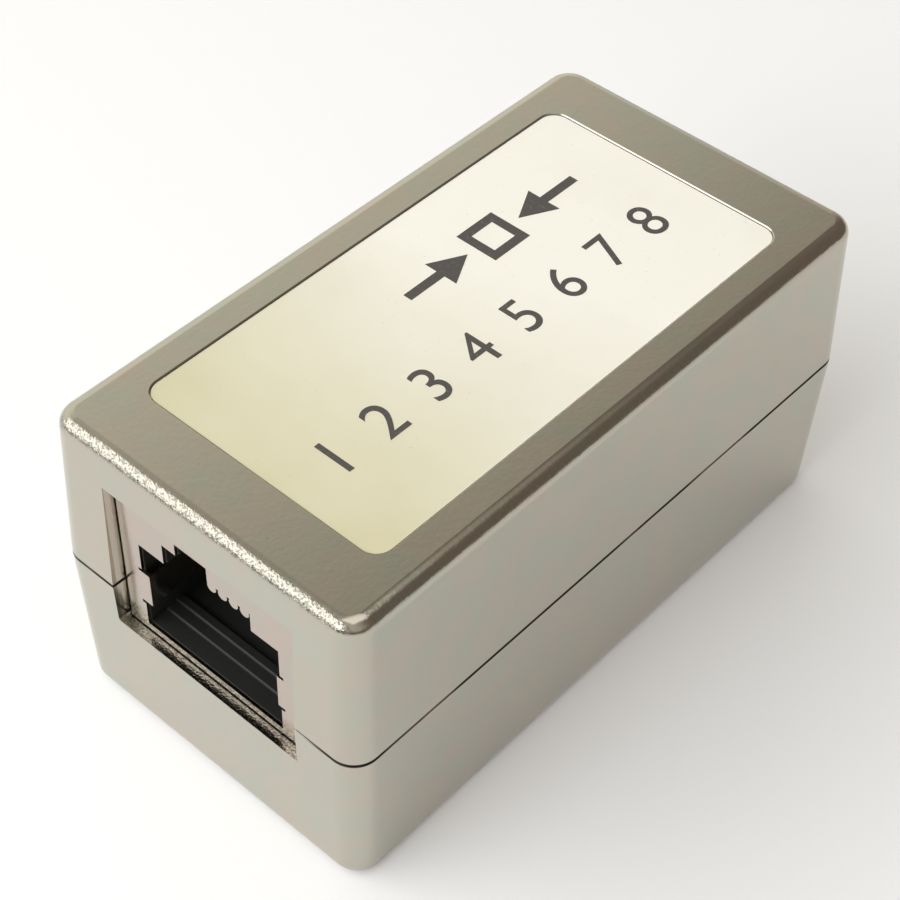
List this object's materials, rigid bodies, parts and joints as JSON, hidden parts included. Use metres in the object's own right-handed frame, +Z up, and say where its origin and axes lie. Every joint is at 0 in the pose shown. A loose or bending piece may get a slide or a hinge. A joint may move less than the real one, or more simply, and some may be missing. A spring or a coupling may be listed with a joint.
{
  "type": "rj45 inline coupler",
  "caption": "Shielded inline coupler: a plated two-part shell round a small board, with a keyed modular jack at each end and a plain label in a recess on top.",
  "frame": {"origin": "on the underside, at the middle of the footprint", "axes": "+Y along the coupler, with the front socket facing -Y; +Z up, with the label on top; +X across"},
  "size_m": [0.026, 0.049, 0.0247],
  "materials": {
    "shell_plating": "satin nickel plating on moulded plastic",
    "jack_plating": "nickel-plated sheet",
    "label": "satin cream label",
    "black_moulding": "black moulding, slightly glossy",
    "contact_gold": "gold-plated spring wire",
    "board": "green solder mask over laminate"
  },
  "bodies": {
    "root": {"upper_shell": "shell_plating", "lower_shell": "shell_plating", "top_label": "label", "circuit_board": "board", "front_jack_shield": "jack_plating", "front_jack_housing": "black_moulding", "front_contact_carrier": "black_moulding", "front_contact_1": "contact_gold", "front_contact_2": "contact_gold", "front_contact_3": "contact_gold", "front_contact_4": "contact_gold", "front_contact_5": "contact_gold", "front_contact_6": "contact_gold", "front_contact_7": "contact_gold", "front_contact_8": "contact_gold", "rear_jack_shield": "jack_plating", "rear_jack_housing": "black_moulding", "rear_contact_carrier": "black_moulding", "rear_contact_1": "contact_gold", "rear_contact_2": "contact_gold", "rear_contact_3": "contact_gold", "rear_contact_4": "contact_gold", "rear_contact_5": "contact_gold", "rear_contact_6": "contact_gold", "rear_contact_7": "contact_gold", "rear_contact_8": "contact_gold"}
  },
  "joints": []
}
